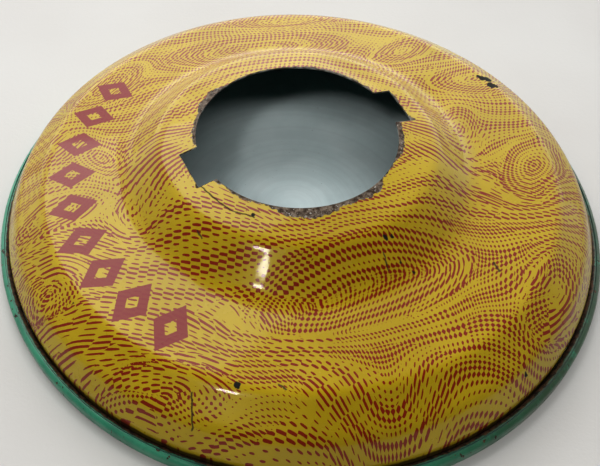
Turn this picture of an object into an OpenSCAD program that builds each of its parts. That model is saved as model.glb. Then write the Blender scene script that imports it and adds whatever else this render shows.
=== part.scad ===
// Base of a tinplate globe money box: a pressed upper shell with a bayonet opening for the globe,
// closed from below by a pan whose edge is rolled over the shell's flange.
// Each sheet is drawn as the path of one face in (radius, height), given a thickness and spun.

/* [Sheet] */
// Thickness of the tinplate
tin = 0.3; // [0.25:0.05:0.4]

/* [Rolled rim] */
// Outside diameter of the green rim, the widest part
rim_d = 114; // [95:1:140]
// Height of the rim above the table
rim_h = 3.0; // [2.6:0.1:3.8]
// How far the rim stands out past the shell's wall
rim_w = 2.0; // [1.8:0.1:2.8]
// Gap between the shell's wall and the rolled edge
wall_gap = 0.1; // [0.05:0.05:0.2]
// Bend between the foot and the rim's outer face
foot_bend = 0.8; // [0.6:0.1:1.0]

/* [Bottom pan] */
// Height of the pan's middle above its foot
pan_rise = 0.9; // [0.8:0.1:1.4]
// How far the foot ring reaches inside the shell's wall
foot_in = 0.4; // [0.4:0.1:3]
// Bends of the step between the foot and the middle
step_bend = 0.5; // [0.45:0.05:0.7]

/* [Shell] */
// Gap between the edge of the shell's flange and the bend of the foot
flange_gap = 0.1; // [0.05:0.05:0.2]
// Height of the upright part of the wall
wall_h = 4.5; // [4:0.1:7]
// How far the shoulder lies inside the wall
shoulder_in = 2.3; // [1.5:0.1:4]
// Rise from the wall to the shoulder
shoulder_rise = 4.5; // [3.5:0.1:6]
// Radius of the brow, where the top turns down towards the shoulder
brow_r = 47.0; // [44:0.1:49]
// Rise from the shoulder to the brow
brow_rise = 4.1; // [3:0.1:5]
// Radius of the valley round the crown
valley_r = 31.8; // [29:0.1:34]
// Rise from the brow to the valley
valley_rise = 1.6; // [1:0.1:3]
// Radius of the crown's edge
crown_r = 24.7; // [23:0.1:26]
// Rise from the valley to the crown
crown_rise = 5.8; // [4:0.1:7]
// Rise from the crown's edge to the opening
lip_rise = 1.25; // [0.6:0.05:2]
// Rounding of the wall, the shoulder, the brow, the valley and the crown
wall_bend = 3; // [2:0.5:4]
shoulder_bend = 6; // [4:0.5:8]
brow_bend = 4; // [2:0.5:6]
valley_bend = 7; // [4:0.5:8]
crown_bend = 5; // [3:0.5:6]

/* [Globe opening] */
// Diameter of the opening that takes the globe's neck
opening_d = 36; // [30:0.5:40]
// Width of each bayonet notch
notch_w = 8.6; // [6:0.1:10]
// How far each notch reaches out past the opening's edge
notch_depth = 2.8; // [1.5:0.1:3]
// Where the notches are, in degrees round the opening
notch_a = 17; // [0:1:60]
notch_b = 201; // [180:1:240]

/* [Hidden] */
$fn = 180;
arc_steps = 10;
eps = 0.01;

rim_r = rim_d / 2;
shell_r = rim_r - rim_w;
opening_r = opening_d / 2;
curl_r = (rim_w - wall_gap) / 2;
foot_r = shell_r - tin - foot_in;
flange_r = rim_r - foot_bend - flange_gap;
shoulder_z = wall_h + shoulder_rise;
brow_z = shoulder_z + brow_rise;
valley_z = brow_z + valley_rise;
crown_z = valley_z + crown_rise;
opening_z = crown_z + lip_rise;

// The pan's underside: middle, step, foot, rim, and the edge rolled in onto the flange.
pan_path = [
    [0, pan_rise, 0],
    [foot_r - pan_rise, pan_rise, tin + step_bend],
    [foot_r, 0, step_bend],
    [rim_r, 0, foot_bend],
    [rim_r, rim_h, curl_r],
    [shell_r + wall_gap, rim_h, curl_r],
    [shell_r + wall_gap, 2 * tin, 0]
];

// The shell's outer face, from the opening down and out to the wall's foot.
shell_path = [
    [opening_r - 3, opening_z + 3 * lip_rise / (crown_r - opening_r), 0],
    [crown_r, crown_z, crown_bend],
    [valley_r, valley_z, valley_bend],
    [brow_r, brow_z, brow_bend],
    [shell_r - shoulder_in, shoulder_z, shoulder_bend],
    [shell_r, wall_h, wall_bend],
    [shell_r, tin, 0]
];

function heading(a, b) = atan2(b[1] - a[1], b[0] - a[0]);
function turn(h0, h1) = let (d = h1 - h0) d > 180 ? d - 360 : d < -180 ? d + 360 : d;
function left(h) = [-sin(h), cos(h)];
function ahead(h) = [cos(h), sin(h)];

// A corner of a path, as points with the heading at each: [radius, height, heading].
function corner(a, b, c) =
    let (h0 = heading(a, b), dh = turn(h0, heading(b, c)), side = sign(dh),
         start = [b[0], b[1]] - ahead(h0) * b[2] * tan(abs(dh) / 2),
         mid = start + side * b[2] * left(h0))
    [for (k = [0 : arc_steps]) let (h = h0 + dh * k / arc_steps, p = mid - side * b[2] * left(h))
        [p[0], p[1], h]];

function rounded(path) =
    let (last = len(path) - 1)
    [[path[0][0], path[0][1], heading(path[0], path[1])],
     for (i = [1 : last - 1]) each corner(path[i - 1], path[i], path[i + 1]),
     [path[last][0], path[last][1], heading(path[last - 1], path[last])]];

// The sheet between a path and the same path moved over by its thickness, to the left or right.
module sheet(path, over) {
    pts = rounded(path);
    polygon(concat(
        [for (p = pts) [p[0], p[1]]],
        [for (i = [len(pts) - 1 : -1 : 0]) [pts[i][0], pts[i][1]] + over * left(pts[i][2])]
    ));
}

module notch(angle) {
    rotate(angle)
        translate([0, -notch_w / 2, valley_z])
            cube([opening_r + notch_depth, notch_w, opening_z]);
}

// The flange turned out at the wall's foot, which lies on the pan's foot ring.
module flange() {
    translate([0, 0, tin])
        difference() {
            cylinder(h = tin, r = flange_r);
            translate([0, 0, -eps]) cylinder(h = tin + 2 * eps, r = shell_r - tin);
        }
}

module shell() {
    color("#d2bd45") {
        difference() {
            rotate_extrude() sheet(shell_path, -tin);
            translate([0, 0, wall_h]) cylinder(h = opening_z, r = opening_r);
            notch(notch_a);
            notch(notch_b);
        }
        flange();
    }
}

module bottom_pan() {
    color("#3d9a78") rotate_extrude() sheet(pan_path, tin);
}

bottom_pan();
shell();
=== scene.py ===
"""Looks for the base of a tinplate globe money box: a printed, pressed shell held by a green rolled rim."""
import math

import bpy
import numpy as np
from mathutils import Matrix, Vector


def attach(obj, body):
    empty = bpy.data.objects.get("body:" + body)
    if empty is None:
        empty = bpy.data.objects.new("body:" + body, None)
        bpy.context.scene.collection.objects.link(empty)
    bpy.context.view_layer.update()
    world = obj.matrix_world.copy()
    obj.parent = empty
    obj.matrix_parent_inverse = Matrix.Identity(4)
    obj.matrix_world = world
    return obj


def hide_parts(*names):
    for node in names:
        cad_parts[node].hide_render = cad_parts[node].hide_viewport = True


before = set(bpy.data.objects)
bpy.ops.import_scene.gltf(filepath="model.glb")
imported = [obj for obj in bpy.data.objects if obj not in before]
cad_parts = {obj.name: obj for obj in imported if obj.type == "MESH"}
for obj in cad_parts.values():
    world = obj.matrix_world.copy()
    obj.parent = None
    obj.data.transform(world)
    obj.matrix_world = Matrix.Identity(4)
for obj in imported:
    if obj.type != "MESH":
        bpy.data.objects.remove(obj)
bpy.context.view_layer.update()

MM = 0.001
TIN = 0.3               # sheet thickness in mm
OPENING_R = 18.0
NOTCH_REACH = 20.8      # how far the bayonet notches reach from the middle
NOTCH_HALF = 4.3
NOTCHES = (17.0, 201.0)  # degrees


# ---- camera -------------------------------------------------------------------------------------

def make_camera():
    """Looks down at 49 degrees from the front, with the small shift of a picture cropped to one side."""
    elevation, roll = math.radians(48.93), math.radians(-3.49)
    back = Vector((0, -math.cos(elevation), math.sin(elevation)))
    side, up = Vector((1, 0, 0)), Vector((0, math.sin(elevation), math.cos(elevation)))
    right = side * math.cos(roll) + up * math.sin(roll)
    above = up * math.cos(roll) - side * math.sin(roll)
    data = bpy.data.cameras.new("camera")
    data.sensor_width = 36
    data.lens = 48.02
    data.shift_x, data.shift_y = 0.1475, -0.0432
    data.clip_start = 0.01
    camera = bpy.data.objects.new("camera", data)
    place = Vector((-15.9, 2.3, 0)) * MM + back * 160.5 * MM
    camera.matrix_world = Matrix.Translation(place) @ Matrix((right, above, back)).transposed().to_4x4()
    bpy.context.scene.collection.objects.link(camera)
    bpy.context.scene.camera = camera


# ---- profiles -----------------------------------------------------------------------------------

def rounded(corners, step=0.2):
    """Points along a path of (radius, height, bend), with each corner rounded to its bend."""
    out = [np.array(corners[0][:2], float)]
    for before, here, after in zip(corners, corners[1:], corners[2:]):
        p = np.array(here[:2], float)
        u, v = (np.array(q[:2], float) - p for q in (before, after))
        u, v = u / np.linalg.norm(u), v / np.linalg.norm(v)
        half = math.acos(np.clip(u @ v, -1, 1)) / 2
        middle = p + (u + v) / np.linalg.norm(u + v) * here[2] / math.sin(half)
        start, end = (p + w * here[2] / math.tan(half) - middle for w in (u, v))
        a0, a1 = math.atan2(start[1], start[0]), math.atan2(end[1], end[0])
        sweep = (a1 - a0 + math.pi) % (2 * math.pi) - math.pi
        for k in np.linspace(0, 1, max(4, int(abs(sweep) * here[2] / step) + 2)):
            a = a0 + sweep * k
            out.append(middle + here[2] * np.array([math.cos(a), math.sin(a)]))
    out.append(np.array(corners[-1][:2], float))
    return np.array(out)


def lengths(path):
    """Distance along a path at each of its points."""
    return np.r_[0, np.cumsum(np.hypot(*np.diff(path, axis=0).T))]


def offset(path, by):
    """The path moved over to its right by a distance."""
    d = np.gradient(path, lengths(path), axis=0)
    d /= np.linalg.norm(d, axis=1)[:, None]
    return path + by * np.stack([d[:, 1], -d[:, 0]], 1)


def along(path, s):
    """Radius and height at distances s along a path."""
    run = lengths(path)
    return np.interp(s, run, path[:, 0]), np.interp(s, run, path[:, 1])


def resampled(path, step):
    """The path with its long straight parts divided."""
    out = [path[0]]
    for a, b in zip(path, path[1:]):
        n = max(1, int(math.ceil(np.linalg.norm(b - a) / step)))
        out += [a + (b - a) * k / n for k in range(1, n + 1)]
    return np.array(out)


# ---- fields over the shell, in mm ---------------------------------------------------------------

def value_noise(x, y, cell, seed):
    """Smooth noise from 0 to 1."""
    table = np.random.default_rng(seed).random((64, 64))
    u, v = np.asarray(x) / cell + 32, np.asarray(y) / cell + 32
    i, j = np.floor(u).astype(int), np.floor(v).astype(int)
    f, g = u - i, v - j
    f, g = f * f * (3 - 2 * f), g * g * (3 - 2 * g)
    i, j = i % 64, j % 64
    i2, j2 = (i + 1) % 64, (j + 1) % 64
    low = table[i, j] * (1 - f) + table[i2, j] * f
    return low * (1 - g) + (table[i, j2] * (1 - f) + table[i2, j2] * f) * g


def turned(x, y, cx, cy, a, b, tilt):
    """Coordinates in an ellipse's own axes, where its edge is at distance 1."""
    c, s = math.cos(math.radians(tilt)), math.sin(math.radians(tilt))
    return ((x - cx) * c + (y - cy) * s) / a, ((y - cy) * c - (x - cx) * s) / b


# Knots of the printed wood grain: middle x, y, half length, half width, tilt in degrees.
KNOTS = [
    (7, -29.4, 19.5, 7.4, 13), (-4, 33.8, 20, 6.0, 4), (-24, -43.6, 11, 4.6, -12),
    (39.5, -30.5, 10, 4.8, 52), (44, -3, 10, 5.0, 48), (31.5, 5, 8, 3.6, 70),
    (-28.5, -6.5, 7, 4.2, 62), (-44, -23.5, 6.5, 4.6, 5), (-44, -8.5, 10, 4.2, 18),
    (-36, 4, 7.5, 3.6, -48), (40, 21.5, 10, 4.8, 5), (-36, 25, 9, 4.0, 40),
    (3, 44.5, 13, 2.8, 0), (27, 32, 9, 3.6, 30),
]
# Places where the grain bulges: middle x, y, half length, half width, tilt, height.
BULGES = [
    (9, -51, 6, 6, 0, 9), (-1, -32.2, 5, 2.6, 5, -4), (17, -27, 5, 2.6, 18, -4),
    (-8, -46, 8, 3, 25, -2), (27, -45, 7, 3, -20, -2),
]


def grain(x, y):
    """Height field whose contour lines are the rows of the printed grain."""
    wx = x + 2.2 * (value_noise(x, y, 15, 1) - .5) + 0.8 * (value_noise(x, y, 5, 2) - .5)
    wy = y + 2.4 * (value_noise(x, y, 15, 3) - .5) + 0.8 * (value_noise(x, y, 5, 4) - .5)

    def flow(px, py):  # straight grain that opens round the opening
        return (py + 1) * (1 - 224 / (px**2 + (py + 1)**2 + 60))

    g = flow(wx, wy)
    for cx, cy, a, b, tilt in KNOTS:
        u, v = turned(wx, wy, cx, cy, a, b, tilt)
        rho = np.sqrt(u * u + v * v + 1e-4)
        middle = flow(cx, cy)
        g = np.where(rho < 1, middle + 1.35 * b * (rho - 1),
                     middle + (g - middle) * (1 - np.maximum(rho, 1)**-3.0))
    for cx, cy, a, b, tilt, h in BULGES:
        u, v = turned(wx, wy, cx, cy, a, b, tilt)
        g = g + h * np.exp(-0.5 * (u * u + v * v))
    return g


def print_fields(x, y):
    """What the print shader needs: row, dash, row crowding, ink bias, hatching, its share, dash crowding.

    Crowding is the base 2 logarithm of how fast the rows or dashes run together.
    """
    e = 0.05
    g = grain(x, y)
    slope = np.hypot(grain(x + e, y) - g, grain(x, y + e) - g) / e + 1e-3

    def slant(px, py):  # the dashes fan out below the opening and lean one way above it
        lower = 0.5 * (1 - np.tanh((py + 8) / 6))
        across = 28.6 * np.arctan2(px - 8, py + 66) * lower + (0.78 * px - 0.62 * py) * (1 - lower)
        return across + 0.3 * grain(px, py) + 4 * (value_noise(px, py, 30, 9) - .5)

    dash = slant(x, y)
    dash_slope = np.hypot(slant(x + e, y) - dash, slant(x, y + e) - dash) / e + 1e-3
    band = np.sin(2 * math.pi * g / 4.4 + 2.5 * (value_noise(x, y, 20, 6) - .5) + 0.8 * np.sin(0.55 * g))
    bias = 1.05 * band + 0.15 + 0.9 * (value_noise(x, y, 8, 7) - .5)
    bias += 0.5 * (value_noise(0.8 * g + 40, 0.05 * (x + y), 1.0, 8) - .5)
    # Long strokes fan out from the two sides of the opening.
    hatch = 14 * np.arctan2(y - 3, np.abs(x) - 9) + 1.4 * (value_noise(x, y, 9, 12) - .5)
    share = np.exp(-((np.abs(x) - 25) / 8)**2 - ((y + 2) / 11)**2)
    # Each knot has a bold ring, and a bare one round it.
    for knot in KNOTS:
        u, v = turned(x, y, *knot)
        rho = np.hypot(u, v)
        bias += 0.9 * np.exp(-((rho - 0.72) / 0.2)**2) - 0.7 * np.exp(-((rho - 1.08) / 0.11)**2)
    bias = np.minimum(bias, 0.7)
    return g, dash, np.log2(slope / 0.95), bias, hatch, share, np.log2(dash_slope)


# Dents: middle x, y, half length, half width, tilt, depth.
DENTS = [
    (27.5, 13.5, 6.5, 2.6, 62, 0.75), (29.5, 8.0, 4.0, 1.2, 80, 0.45), (-15.5, -22.5, 3.4, 1.6, 120, 0.22),
    (-10.5, -26.0, 4.5, 1.8, 20, 0.12), (11.8, -23.1, 0.8, 0.5, 0, 0.14), (-18.0, -19.5, 0.9, 0.4, 80, 0.10),
    (-16.5, 10.5, 4.0, 2.0, 145, 0.25), (13.0, 15.0, 5.0, 1.6, 130, 0.25), (36.0, 30.0, 6.0, 3.0, 40, 0.20),
    (22.0, 18.5, 3.2, 1.8, 130, 0.35),
]


def dent_depth(x, y):
    """How far the sheet is pushed in, in mm."""
    d = 0.16 * value_noise(x, y, 13, 21)
    for cx, cy, a, b, tilt, h in DENTS:
        u, v = turned(x, y, cx, cy, a, b, tilt)
        d = d + h * np.exp(-0.5 * (u * u + v * v))
    return d


# ---- meshes -------------------------------------------------------------------------------------

def edge_radius(angle):
    """Radius of the opening's edge at an angle in radians, with the two square notches."""
    r = np.full_like(angle, OPENING_R)
    for notch in NOTCHES:
        a = (angle - math.radians(notch) + math.pi) % (2 * math.pi) - math.pi
        inside = np.abs(a) < math.asin(NOTCH_HALF / OPENING_R) + 1e-6
        side = NOTCH_HALF / np.maximum(np.abs(np.sin(a)), 1e-6)
        reach = np.minimum(NOTCH_REACH / np.cos(np.where(inside, a, 0)), side)
        r = np.where(inside, np.maximum(reach, OPENING_R), r)
    return r


def shell_angles(count):
    """Angles round the shell, with one exactly at every corner of the notches."""
    angles = np.arange(count) * 2 * math.pi / count
    for notch in NOTCHES:
        for half in (math.asin(NOTCH_HALF / OPENING_R), math.atan2(NOTCH_HALF, NOTCH_REACH)):
            for side in (-1, 1):
                a = (math.radians(notch) + side * half) % (2 * math.pi)
                angles[int(round(a / (2 * math.pi) * count)) % count] = a
    return np.sort(angles)


def ring_faces(rings, count, first=0, flip=False):
    """Quads between rings of count points each, numbered ring by ring, wound the other way if flipped."""
    i, j = np.meshgrid(np.arange(rings - 1), np.arange(count), indexing="ij")
    k = (j + 1) % count
    quads = np.stack([i * count + j, (i + 1) * count + j, (i + 1) * count + k, i * count + k], -1)
    quads = quads.reshape(-1, 4)
    return first + (quads[:, ::-1] if flip else quads)


def make_piece(name, points, quads, uv, materials, slots):
    """A mesh object from points in mm, quads with a UV for each corner, and a material for each face."""
    mesh = bpy.data.meshes.new(name)
    mesh.from_pydata((points * MM).tolist(), [], quads.tolist())
    layer = mesh.uv_layers.new(name="OFBake")
    layer.data.foreach_set("uv", np.asarray(uv, np.float32).ravel())
    for m in materials:
        mesh.materials.append(m)
    mesh.polygons.foreach_set("material_index", np.asarray(slots, np.int32))
    mesh.polygons.foreach_set("use_smooth", np.ones(len(mesh.polygons), bool))
    mesh.set_sharp_from_angle(angle=math.radians(50))
    piece = bpy.data.objects.new(name, mesh)
    bpy.context.scene.collection.objects.link(piece)
    return piece


def put_attribute(piece, name, columns):
    """Three numbers for each vertex, which the shaders read."""
    data = piece.data.attributes.new(name, "FLOAT_VECTOR", "POINT")
    data.data.foreach_set("vector", np.stack(columns, 1).astype(np.float32).ravel())


def disc_uv(angle, radius, middle=(0.5, 0.5)):
    """Texture coordinates on a disc."""
    return np.stack([middle[0] + radius * np.cos(angle), middle[1] + radius * np.sin(angle)], -1)


# The shell's outer face: opening, crown, valley, brow, shoulder, wall.
SHELL = rounded([(15, 22.3068, 0), (24.7, 20.5, 5), (31.8, 14.7, 7), (47.0, 13.1, 4), (52.7, 9.0, 6),
                 (55, 4.5, 3), (55, 2 * TIN, 0)])


# Worn patches at the opening's edge: middle and half width in degrees, reach in mm.
WORN = [(270, 17, 1.9), (306, 9, 1.5), (288, 14, 0.9), (350, 17, 1.0), (2, 6, 0.8),
        (146, 13, 1.5), (172, 16, 0.7), (236, 14, 0.45), (60, 30, 0.35), (215, 8, 0.4)]


def make_shell(printed, bare):
    count, rings, inner_rings = 512, 104, 40
    angle = shell_angles(count)
    start = edge_radius(angle)
    inner = offset(SHELL, TIN)

    def surface(path, rings, settle):
        """Points of a face: rings spaced along the path, the first ones bent round the notches."""
        run = lengths(path)
        first = np.interp(start, path[:, 0], run)
        base = np.interp(OPENING_R, path[:, 0], run)
        u = np.linspace(0, run[-1] - base, rings)[:, None]
        s = base + u + (first - base)[None, :] * np.maximum(0, 1 - u / settle)
        r, z = along(path, s)
        return r, z, s - first[None, :]

    r, z, from_edge = surface(SHELL, rings, 9)
    r2, z2, _ = surface(inner, inner_rings, 9)
    x, y = r * np.cos(angle), r * np.sin(angle)
    dent = dent_depth(x, y) * np.clip((54 - r) / 5, 0, 1)
    outer = np.stack([x, y, z - dent], -1).reshape(-1, 3)
    x2, y2 = r2 * np.cos(angle), r2 * np.sin(angle)
    dent2 = dent_depth(x2, y2) * np.clip((54 - r2) / 5, 0, 1)
    inside = np.stack([x2, y2, z2 - dent2], -1).reshape(-1, 3)
    flange = np.array([(56.1, 2 * TIN), (56.1, TIN), (55 - TIN, TIN)])
    ring = np.concatenate([np.stack([fr * np.cos(angle), fr * np.sin(angle), np.full(count, fz)], -1)
                           for fr, fz in flange])
    points = np.concatenate([outer, ring, inside])

    # UV: the print spread flat from the middle, the cut edge inside it, the inner face small in a corner.
    s_uv = np.interp(np.clip(r, 15, 54.99), SHELL[:, 0], lengths(SHELL))
    s_uv = np.where(z < 4.5, lengths(SHELL)[-1] - (z - 2 * TIN), s_uv)
    spread = 0.49 * (s_uv + 15) / (lengths(SHELL)[-1] + 15)
    grid_uv = disc_uv(np.broadcast_to(angle, r.shape), spread)
    n_out, n_ring, n_in = rings * count, len(flange) * count, inner_rings * count

    out_faces = ring_faces(rings, count)
    out_uv = grid_uv.reshape(-1, 2)[out_faces]
    small = disc_uv(np.broadcast_to(angle, r2.shape), 0.08 * r2 / 55, (0.085, 0.085)).reshape(-1, 2)
    in_local = ring_faces(inner_rings, count, flip=True)
    in_faces = in_local + n_out + n_ring
    in_uv = small[in_local]

    def strip(a, b, uv_a, uv_b, middle=(0.5, 0.5)):
        """Quads between the ring starting at vertex a and the one starting at b."""
        j = np.arange(count)
        k = (j + 1) % count
        faces = np.stack([a + j, b + j, b + k, a + k], -1)
        step = angle[k] + np.where(k == 0, 2 * math.pi, 0)
        uv = np.stack([disc_uv(angle, uv_a, middle), disc_uv(angle, uv_b, middle),
                       disc_uv(step, uv_b, middle), disc_uv(step, uv_a, middle)], 1)
        return faces, uv

    last = (rings - 1) * count
    far = (0.915, 0.085)
    strips = [strip(n_out + n_ring, 0, 0.098, 0.108),
              strip(last, n_out, 0.050, 0.055, far), strip(n_out, n_out + count, 0.055, 0.060, far),
              strip(n_out + count, n_out + 2 * count, 0.060, 0.070, far),
              strip(n_out + 2 * count, n_out + n_ring + (inner_rings - 1) * count, 0.070, 0.080, far)]
    quads = np.concatenate([out_faces, in_faces] + [f for f, _ in strips])
    uv = np.concatenate([out_uv, in_uv] + [u for _, u in strips])
    slots = np.r_[np.zeros(len(out_faces)), np.ones(len(quads) - len(out_faces))]
    shell = make_piece("printed_shell", points, quads, uv, [printed, bare], slots)

    # Worn width of the opening's edge in mm: a thin line all round, and wide patches.
    degrees = np.degrees(angle)
    worn = np.full(count, 0.10)
    for middle, half, width in WORN:
        away = (degrees - middle + 180) % 360 - 180
        worn = np.maximum(worn, width * np.exp(-(away / half)**4))
    g, dash, density, bias, hatch, share, dash_density = print_fields(x, y)

    def over(field):
        """A field of the outer face, with zeros for the vertices that have no print."""
        return np.r_[np.broadcast_to(field, r.shape).ravel(), np.zeros(n_ring + n_in)]

    put_attribute(shell, "grain", [over(g), over(dash), over(density)])
    put_attribute(shell, "ink", [over(bias), over(hatch), over(share)])
    put_attribute(shell, "edge", [over(from_edge - worn), over(from_edge), over(dash_density)])
    return shell


# The pan's underside: middle, step, foot, rim, and the edge rolled in onto the flange.
PAN = rounded([(0.01, 0.9, 0), (53.4, 0.9, 0.8), (54.3, 0, 0.5), (57, 0, 0.8), (57, 3.0, 0.95),
               (55.1, 3.0, 0.95), (55.1, 2 * TIN, 0)], step=0.12)


def make_pan(paint, bare):
    count = 384
    angle = np.arange(count) * 2 * math.pi / count
    under = resampled(PAN, 1.6)
    run = lengths(under)
    over = offset(under, -TIN)
    over[:, 0] = np.maximum(over[:, 0], 0.01)
    # The hand-set seam: the rolled edge is a little uneven.
    wave = 0.05 * value_noise(60 * np.cos(angle), 60 * np.sin(angle), 7, 31)
    points = []
    for path in (under, over):
        lift = np.clip((path[:, 1] - 1.8) / 1.2, 0, 1)[:, None] * wave[None, :]
        r = path[:, :1] - lift * np.clip((path[:, :1] - 56) / 1, -0.4, 1)
        z = path[:, 1:] - 1.2 * lift
        points.append(np.stack([r * np.cos(angle), r * np.sin(angle), z + 0 * angle], -1).reshape(-1, 3))
    n = len(under)
    points = np.concatenate(points)
    low, up = ring_faces(n, count, flip=True), ring_faces(n, count, n * count)
    quads = [low, up]
    # UV: the underside flat and large, the inner face beside it at a smaller size.
    share = (run / run[-1])[:, None] + 0 * angle
    table = np.concatenate([disc_uv(angle, size * share, middle).reshape(-1, 2)
                            for size, middle in ((0.30, (0.31, 0.31)), (0.18, (0.81, 0.81)))])
    j = np.arange(count)
    k = (j + 1) % count
    end = (n - 1) * count
    quads.append(np.stack([end + j, end + k, n * count + end + k, n * count + end + j], -1))
    quads.append(np.stack([j, n * count + j, n * count + k, k], -1))
    uv = [table[q] for q in quads]
    quads = np.concatenate(quads)
    slots = np.r_[np.zeros(len(low)), np.ones(len(up)), np.zeros(count), np.ones(count)]
    return make_piece("rolled_pan", points, quads, np.concatenate(uv), [paint, bare], slots)


# ---- materials ----------------------------------------------------------------------------------

class Graph:
    """A short way to write a material's nodes."""

    def __init__(self, name):
        self.material = bpy.data.materials.new(name)
        self.material.use_nodes = True
        self.tree = self.material.node_tree
        self.tree.nodes.clear()
        self.output = self.tree.nodes.new("ShaderNodeOutputMaterial")
        place = self.tree.nodes.new("ShaderNodeTexCoord").outputs["Object"]
        self.mm = self.vector("SCALE", place, scale=1 / MM)

    def put(self, socket, value):
        if isinstance(value, bpy.types.NodeSocket):
            self.tree.links.new(value, socket)
        elif value is not None:
            socket.default_value = value

    def math(self, operation, *values, clamp=False):
        node = self.tree.nodes.new("ShaderNodeMath")
        node.operation, node.use_clamp = operation, clamp
        for socket, value in zip(node.inputs, values):
            self.put(socket, value)
        return node.outputs[0]

    def vector(self, operation, *values, scale=None):
        node = self.tree.nodes.new("ShaderNodeVectorMath")
        node.operation = operation
        for socket, value in zip(node.inputs, values):
            self.put(socket, value)
        if scale is not None:
            self.put(node.inputs["Scale"], scale)
        return node.outputs["Value" if operation in ("LENGTH", "DOT_PRODUCT", "DISTANCE") else "Vector"]

    def parts(self, vector):
        node = self.tree.nodes.new("ShaderNodeSeparateXYZ")
        self.put(node.inputs[0], vector)
        return node.outputs[0], node.outputs[1], node.outputs[2]

    def attribute(self, name):
        node = self.tree.nodes.new("ShaderNodeAttribute")
        node.attribute_name = name
        return self.parts(node.outputs["Vector"])

    def step(self, value, low, high, to=(0, 1)):
        """Smooth step of value from low to high; high may be below low."""
        node = self.tree.nodes.new("ShaderNodeMapRange")
        node.interpolation_type = "SMOOTHSTEP"
        self.put(node.inputs["Value"], value)
        a, b = (low, high) if low < high else (high, low)
        ends = to if low < high else (to[1], to[0])
        for name, number in zip(("From Min", "From Max", "To Min", "To Max"), (a, b) + tuple(ends)):
            node.inputs[name].default_value = number
        return node.outputs[0]

    def noise(self, size, detail=2.0, rough=0.5, at=None, seed=0.0):
        """Noise from 0 to 1 whose features are about size mm."""
        node = self.tree.nodes.new("ShaderNodeTexNoise")
        self.put(node.inputs["Vector"], self.vector("ADD", at or self.mm, (seed, 2 * seed, 3 * seed)))
        node.inputs["Scale"].default_value = 1 / size
        node.inputs["Detail"].default_value = detail
        node.inputs["Roughness"].default_value = rough
        return node.outputs["Fac"]

    def noise_vector(self, size):
        """Three noises from 0 to 1, for shaking positions."""
        node = self.tree.nodes.new("ShaderNodeTexNoise")
        self.put(node.inputs["Vector"], self.mm)
        node.inputs["Scale"].default_value = 1 / size
        node.inputs["Detail"].default_value = 2.0
        return node.outputs["Color"]

    def radius(self, x, y):
        """Distance from the upright axis."""
        return self.math("SQRT", self.math("ADD", self.math("MULTIPLY", x, x), self.math("MULTIPLY", y, y)))

    def mix(self, share, a, b):
        node = self.tree.nodes.new("ShaderNodeMix")
        node.data_type = "RGBA"
        self.put(node.inputs["Factor"], share)
        for socket, value in zip((node.inputs[6], node.inputs[7]), (a, b)):
            self.put(socket, value if isinstance(value, bpy.types.NodeSocket) else (*value, 1))
        return node.outputs[2]

    def bump(self, height, distance, normal=None):
        node = self.tree.nodes.new("ShaderNodeBump")
        self.put(node.inputs["Height"], height)
        node.inputs["Distance"].default_value = distance * MM
        self.put(node.inputs["Normal"], normal)
        return node.outputs[0]

    def shader(self, **values):
        node = self.tree.nodes.new("ShaderNodeBsdfPrincipled")
        for name, value in values.items():
            self.put(node.inputs[name.replace("_", " ")], value)
        self.put(self.output.inputs["Surface"], node.outputs[0])
        return self.material


# Scratches in the paint, as lines in plan: x, y to x, y, half width in mm.
SCRATCHES = [
    (-20.6, -44.6, -20.8, -48.9, 0.13), (-17.8, -10.6, -16.8, -12.3, 0.10),
    (-16.8, -12.3, -14.9, -14.7, 0.11), (-14.9, -14.7, -12.6, -17.2, 0.10),
    (-12.6, -17.2, -9.0, -18.9, 0.08), (29.9, -25.6, 30.4, -27.2, 0.16),
    (-18.4, -19.0, -17.8, -20.3, 0.12), (11.3, -25.4, 11.9, -27.6, 0.08), (-7.6, -45.0, -6.4, -45.9, 0.10),
]
# Chips through the paint: x, y, radius in mm.
CHIPS = [
    (40.7, 21.2, 0.75), (41.9, 20.9, 0.85), (42.0, 19.0, 0.95), (40.1, 21.8, 0.35), (42.9, 18.6, 0.5),
    (-13.7, -44.6, 0.55), (11.9, -23.2, 0.40), (12.9, -22.9, 0.28), (14.2, -26.2, 0.22),
    (16.0, -27.4, 0.24), (-9.2, -18.4, 0.30), (-33.0, -44.6, 0.35), (31.5, -43.0, 0.30),
    (46.5, 3.5, 0.28), (-39.5, -27.5, 0.22),
]


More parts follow.
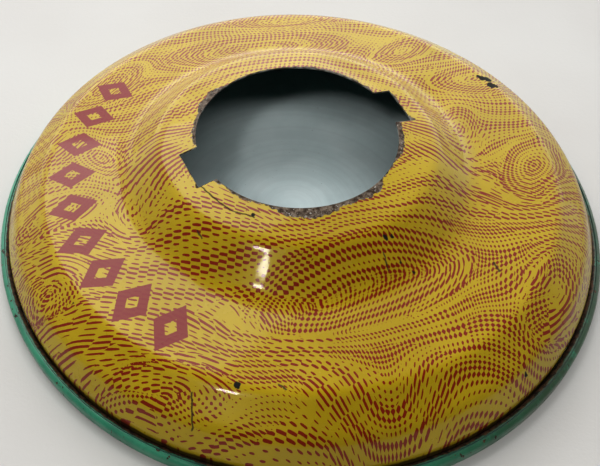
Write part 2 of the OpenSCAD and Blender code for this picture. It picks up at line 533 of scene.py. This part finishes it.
def printed_tin():
    m = Graph("litho_print")
    x, y, z = m.parts(m.mm)
    row, dash, density = m.attribute("grain")
    bias, hatch, share = m.attribute("ink")
    edge, from_edge, dash_density = m.attribute("edge")

    def wave(value, period):
        return m.math("COSINE", m.math("MULTIPLY", value, 2 * math.pi / period))

    # Rows keep their spacing where the grain runs together: their number halves each time it doubles.
    def even(value, crowding):
        level = m.math("MAXIMUM", m.math("MINIMUM", m.math("ROUND", crowding), 2.0), -3.0)
        return m.math("MULTIPLY", value, m.math("POWER", 2.0, m.math("MULTIPLY", level, -1.0)))

    rows, dashes = wave(even(row, density), 0.86), wave(even(dash, dash_density), 0.70)
    lines = wave(hatch, 0.92)
    less = m.math("SUBTRACT", 1.0, m.math("MULTIPLY", share, 0.9))
    ink = m.math("MULTIPLY_ADD", m.math("MULTIPLY", rows, less), 0.62, m.math("MULTIPLY", bias, 0.5))
    ink = m.math("MULTIPLY_ADD", m.math("MULTIPLY", dashes, less), 0.64, ink)
    ink = m.math("MULTIPLY_ADD", m.math("MULTIPLY", lines, share), 1.15, ink)
    uneven = m.math("SUBTRACT", m.noise(0.5, 1.0), 0.5)
    ink = m.math("MULTIPLY_ADD", uneven, 0.55, ink)
    inked = m.step(ink, 0.34, 0.46)

    # Ornament: nine lozenges on an arc round the left of the dome, each with a window.
    turn = m.math("ARCTAN2", m.math("MULTIPLY", y, -1.0), m.math("MULTIPLY", x, -1.0))
    pitch = math.radians(11.24)
    place = m.math("DIVIDE", m.math("ADD", turn, math.radians(34.4)), pitch)
    number = m.math("MAXIMUM", m.math("MINIMUM", m.math("ROUND", place), 8.0), 0.0)
    local = m.math("MULTIPLY", m.math("SUBTRACT", place, number), pitch)
    radius = m.radius(x, y)
    across = m.math("ABSOLUTE", m.math("MULTIPLY", radius, m.math("SINE", local)))
    out = m.math("ABSOLUTE", m.math("SUBTRACT", m.math("MULTIPLY", radius, m.math("COSINE", local)), 41.5))
    lozenge = m.math("ADD", m.math("DIVIDE", across, 3.3), m.math("DIVIDE", out, 4.6))
    lozenge = m.math("MULTIPLY_ADD", uneven, 0.05, lozenge)
    ornament = m.math("SUBTRACT", m.step(lozenge, 1.02, 0.98), m.step(lozenge, 0.38, 0.34))

    # Lacquered yellow ground: slightly uneven, browner in patches, with small specks.
    ground = m.mix(m.step(m.noise(16, 3.0), 0.35, 0.70), (0.48, 0.352, 0.016), (0.42, 0.304, 0.012))
    browned = m.math("MULTIPLY", m.step(m.noise(6, 4.0, 0.65, seed=7), 0.52, 0.80), 0.35)
    ground = m.mix(browned, ground, (0.40, 0.29, 0.05))
    colour = m.mix(m.math("MULTIPLY", inked, 0.95), ground, (0.22, 0.007, 0.007))
    colour = m.mix(m.math("MULTIPLY", ornament, 0.97), colour, (0.21, 0.007, 0.008))
    specks = m.step(m.noise(0.30, 2.0, 0.6, seed=11), 0.715, 0.76)
    colour = m.mix(m.math("MULTIPLY", specks, 0.55), colour, (0.10, 0.06, 0.02))

    # Wear: the opening's edge, chips and scratches; and a dark band along the foot of the wall.
    rag = m.math("SUBTRACT", m.noise(1.1, 4.0, 0.65, seed=3), 0.5)
    bare = m.step(m.math("MULTIPLY_ADD", rag, 1.7, edge), 0.06, -0.06)
    rust = m.mix(m.step(m.noise(0.8, 4.0, 0.7, seed=5), 0.38, 0.66),
                 (0.045, 0.027, 0.016), (0.22, 0.175, 0.135))
    rust = m.mix(m.step(m.noise(0.45, 2.0, 0.6, seed=9), 0.60, 0.70), rust, (0.42, 0.40, 0.36))
    colour = m.mix(bare, colour, rust)
    # Darker along the foot of the wall: dark brown below about z 3 to 4 mm, with a ragged upper edge.
    low = m.math("MULTIPLY_ADD", m.math("SUBTRACT", m.noise(2.2, 3.0, 0.6, seed=13), 0.5), 1.6, z)
    dark_foot_band = m.step(low, 3.9, 3.0)
    colour = m.mix(m.math("MULTIPLY", dark_foot_band, 0.88), colour, (0.030, 0.018, 0.010))

    flat = m.vector("MULTIPLY", m.mm, (1.0, 1.0, 0.0))
    shake = m.vector("SCALE", m.vector("SUBTRACT", m.noise_vector(0.8), (0.5, 0.5, 0.5)), scale=0.55)
    flat = m.vector("MULTIPLY", m.vector("ADD", flat, shake), (1.0, 1.0, 0.0))
    marks = None
    for ax, ay, bx, by, half in SCRATCHES:
        length2 = (bx - ax)**2 + (by - ay)**2
        from_a = m.vector("SUBTRACT", flat, (ax, ay, 0))
        covered = m.vector("DOT_PRODUCT", from_a, (bx - ax, by - ay, 0))
        share_of = m.math("DIVIDE", covered, length2, clamp=True)
        nearest = m.vector("SCALE", (bx - ax, by - ay, 0), scale=share_of)
        gap = m.math("SUBTRACT", m.vector("DISTANCE", from_a, nearest), half)
        marks = gap if marks is None else m.math("MINIMUM", marks, gap)
    scratch = m.step(marks, 0.10, -0.04)
    colour = m.mix(m.math("MULTIPLY", scratch, 0.85), colour, (0.045, 0.032, 0.018))
    holes = None
    for cx, cy, size in CHIPS:
        gap = m.math("SUBTRACT", m.vector("DISTANCE", flat, (cx, cy, 0)), size)
        holes = gap if holes is None else m.math("MINIMUM", holes, gap)
    chip = m.step(m.math("MULTIPLY_ADD", rag, 0.9, holes), 0.08, -0.08)
    colour = m.mix(chip, colour, (0.018, 0.016, 0.012))

    lost = m.math("MAXIMUM", m.math("MAXIMUM", bare, chip), m.math("MAXIMUM", dark_foot_band, scratch))
    gloss = m.step(m.noise(9, 4.0, 0.6, seed=17), 0.30, 0.75, to=(0.24, 0.38))
    rough = m.math("MULTIPLY_ADD", lost, 0.35, gloss)
    height = m.math("MULTIPLY_ADD", m.noise(0.9, 2.0, seed=19), 0.35, m.math("MULTIPLY", inked, 0.12))
    height = m.math("MULTIPLY_ADD", lost, -1.0, height)
    height = m.math("MULTIPLY_ADD", m.math("MULTIPLY", m.noise(0.4, 3.0, 0.7, seed=23), lost), 0.8, height)
    normal = m.bump(height, 0.022)
    return m.shader(Base_Color=colour, Roughness=rough, Normal=normal, Specular_IOR_Level=0.2,
                    Coat_Weight=m.math("SUBTRACT", 0.4, m.math("MULTIPLY", lost, 0.4)), Coat_Roughness=0.06)


def bare_tin():
    """The unprinted side of the tinplate, and the cut edge of the opening."""
    m = Graph("bare_tinplate")
    x, y, z = m.parts(m.mm)
    radius = m.radius(x, y)
    rings = m.tree.nodes.new("ShaderNodeCombineXYZ")
    m.put(rings.inputs[0], radius)
    turning = m.noise(1.1, 3.0, 0.6, at=rings.outputs[0], seed=2)
    cloud = m.noise(9, 4.0, 0.6, seed=4)
    colour = m.mix(m.step(cloud, 0.3, 0.7), (0.66, 0.78, 0.80), (0.75, 0.86, 0.88))
    colour = m.mix(m.math("MULTIPLY", m.step(turning, 0.35, 0.7), 0.22), colour, (0.55, 0.63, 0.65))
    spots = m.step(m.noise(0.7, 3.0, 0.6, seed=6), 0.70, 0.78)
    colour = m.mix(m.math("MULTIPLY", spots, 0.5), colour, (0.12, 0.12, 0.11))
    # Painted shade: above about z 2 to 3 mm the bare tin, which is the shell's inner face, is painted dark
    # teal, standing in for the shade inside the shell.
    colour = m.mix(m.step(z, 1.8, 3.2), colour, (0.03, 0.10, 0.09))  # painted shade on the shell's inner face
    edge = m.step(z, 17.5, 18.5)
    edge_tint = m.mix(m.step(m.noise(1.6, 3.0, 0.6, seed=8), 0.42, 0.60),
                      (0.13, 0.10, 0.075), (0.55, 0.53, 0.48))
    inside = m.step(radius, 24.0, 22.0)
    colour = m.mix(m.math("MULTIPLY", edge, inside), colour, edge_tint)
    rough = m.step(m.math("ADD", m.math("MULTIPLY", cloud, 0.5), m.math("MULTIPLY", turning, 0.5)), 0.3, 0.7,
                   to=(0.42, 0.58))
    return m.shader(Base_Color=colour, Roughness=rough, Normal=m.bump(turning, 0.02),
                    Specular_IOR_Level=0.35)


def green_paint():
    m = Graph("green_enamel")
    x, y, z = m.parts(m.mm)
    radius = m.radius(x, y)
    colour = m.mix(m.step(m.noise(7, 4.0, 0.6), 0.35, 0.70), (0.056, 0.290, 0.180), (0.038, 0.200, 0.125))
    mottle = m.math("MULTIPLY", m.step(m.noise(0.9, 4.0, 0.7, seed=3), 0.50, 0.75), 0.35)
    colour = m.mix(mottle, colour, (0.03, 0.13, 0.09))
    # Painted shade: the outer rim is darkened in patches, more and more towards its right side (x from 0 to
    # 40 mm), standing in for the shadow the window light leaves there.
    rim_painted_shade = m.math("MULTIPLY", m.step(x, 0, 40), m.step(m.noise(3, 4.0, 0.65, seed=15), 0.25, 0.50))
    rim_painted_shade = m.math("MULTIPLY", rim_painted_shade, m.step(radius, 55.0, 56.0))
    colour = m.mix(m.math("MULTIPLY", rim_painted_shade, 0.8), colour, (0.045, 0.050, 0.022))
    # The rolled lip is rubbed brown beside the shell, and nicked along its edges.
    rag = m.math("SUBTRACT", m.noise(1.3, 4.0, 0.65, seed=5), 0.5)
    inner = m.math("MULTIPLY_ADD", rag, 0.75, radius)
    worn = m.math("MULTIPLY", m.step(inner, 55.90, 55.70), m.step(z, 1.9, 2.3))
    nick_at = m.vector("MULTIPLY", m.mm, (1.0, 1.0, 0.35))
    nick = m.step(m.noise(1.5, 3.0, 0.7, at=nick_at, seed=7), 0.625, 0.655)
    foot = m.step(m.math("MULTIPLY_ADD", rag, 1.2, z), 0.42, 0.22)
    foot = m.math("MULTIPLY", foot, m.step(radius, 56.0, 56.5))
    lost = m.math("MAXIMUM", m.math("MAXIMUM", worn, nick), foot)
    rust = m.mix(m.step(m.noise(0.7, 3.0, 0.7, seed=9), 0.40, 0.62),
                 (0.020, 0.013, 0.009), (0.115, 0.062, 0.032))
    colour = m.mix(lost, colour, rust)
    rough = m.math("MULTIPLY_ADD", lost, 0.3, m.step(m.noise(4, 3.0, seed=11), 0.3, 0.7, to=(0.30, 0.46)))
    height = m.math("MULTIPLY_ADD", lost, -1.0, m.math("MULTIPLY", m.noise(0.8, 2.0, seed=13), 0.4))
    return m.shader(Base_Color=colour, Roughness=rough, Normal=m.bump(height, 0.03), Coat_Weight=0.25,
                    Coat_Roughness=0.15)


def paper_floor():
    m = Graph("paper_floor")
    tone = m.step(m.noise(60, 3.0), 0.3, 0.7)
    colour = m.mix(tone, (0.57, 0.56, 0.545), (0.60, 0.595, 0.58))
    return m.shader(Base_Color=colour, Roughness=0.75, Normal=m.bump(m.noise(0.7, 3.0, 0.6, seed=2), 0.03))


# ---- light --------------------------------------------------------------------------------------

# Name, elevation and azimuth in degrees, distance and size in metres, power in watts.
LIGHTS = [
    ("lamp", 50, -121, 1.5, (0.15, 0.15), 2.9),
    ("front", 58, -93, 1.4, (1.4, 0.25), 7.2),
    ("window", 55, 108, 0.5, (0.42, 0.36), 1.5),
]
# Parts of the bright room behind the object: direction it faces, power of the falloff, strength.
ROOM = [((0, 1, 0), 2, 2.2), ((-0.7, 0.7, 0), 2, 0.5), ((0.7, 0.7, 0), 2, 0.8)]


def make_lights():
    target = Vector((0, 0, 0.01))
    for name, elevation, azimuth, distance, size, power in LIGHTS:
        data = bpy.data.lights.new(name, "AREA")
        data.shape, data.size, data.size_y = "RECTANGLE", *size
        data.energy, data.color = power, (1.0, 0.985, 0.96)
        light = bpy.data.objects.new(name, data)
        e, a = math.radians(elevation), math.radians(azimuth)
        way = Vector((math.cos(e) * math.cos(a), math.cos(e) * math.sin(a), math.sin(e)))
        light.location = target + way * distance
        light.rotation_euler = way.to_track_quat("Z", "Y").to_euler()
        light.visible_glossy = name != "front"  # a soft fill, too wide to leave a highlight
        bpy.context.scene.collection.objects.link(light)


def make_world():
    """A pale room, bright behind the object and dim in front of it."""
    world = bpy.data.worlds.new("world")
    world.use_nodes = True
    tree = world.node_tree
    way = tree.nodes.new("ShaderNodeTexCoord").outputs["Generated"]

    def math_node(operation, a, b):
        node = tree.nodes.new("ShaderNodeMath")
        node.operation = operation
        for socket, value in zip(node.inputs, (a, b)):
            if isinstance(value, bpy.types.NodeSocket):
                tree.links.new(value, socket)
            else:
                socket.default_value = value
        return node.outputs[0]

    def towards(direction):
        node = tree.nodes.new("ShaderNodeVectorMath")
        node.operation = "DOT_PRODUCT"
        tree.links.new(way, node.inputs[0])
        node.inputs[1].default_value = direction
        return math_node("MAXIMUM", node.outputs["Value"], 0.0)

    edge = tree.nodes.new("ShaderNodeMapRange")
    edge.interpolation_type = "SMOOTHSTEP"
    tree.links.new(towards((0, 1, 0)), edge.inputs["Value"])
    for name, value in (("From Min", 0.02), ("From Max", 0.12), ("To Min", 0.02), ("To Max", 0.22)):
        edge.inputs[name].default_value = value
    total = edge.outputs[0]
    for direction, power, strength in ROOM:
        part = math_node("POWER", towards(direction), float(power))
        total = math_node("ADD", total, math_node("MULTIPLY", part, strength))
    background = tree.nodes["Background"]
    background.inputs["Color"].default_value = (0.97, 0.985, 1.0, 1)
    tree.links.new(total, background.inputs["Strength"])
    bpy.context.scene.world = world
    view = bpy.context.scene.view_settings
    view.view_transform = "Standard"
    view.gamma = 0.8


def make_floor():
    mesh = bpy.data.meshes.new("floor")
    s = 1.5
    mesh.from_pydata([(-s, -s, 0), (s, -s, 0), (s, s, 0), (-s, s, 0)], [], [(0, 1, 2, 3)])
    mesh.materials.append(paper_floor())
    floor = bpy.data.objects.new("floor", mesh)
    bpy.context.scene.collection.objects.link(floor)


make_camera()
make_lights()
make_world()
make_floor()
tin = bare_tin()
shell = make_shell(printed_tin(), tin)
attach(shell, "root")
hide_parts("shell")
pan = make_pan(green_paint(), tin)
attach(pan, "root")
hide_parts("bottom_pan")
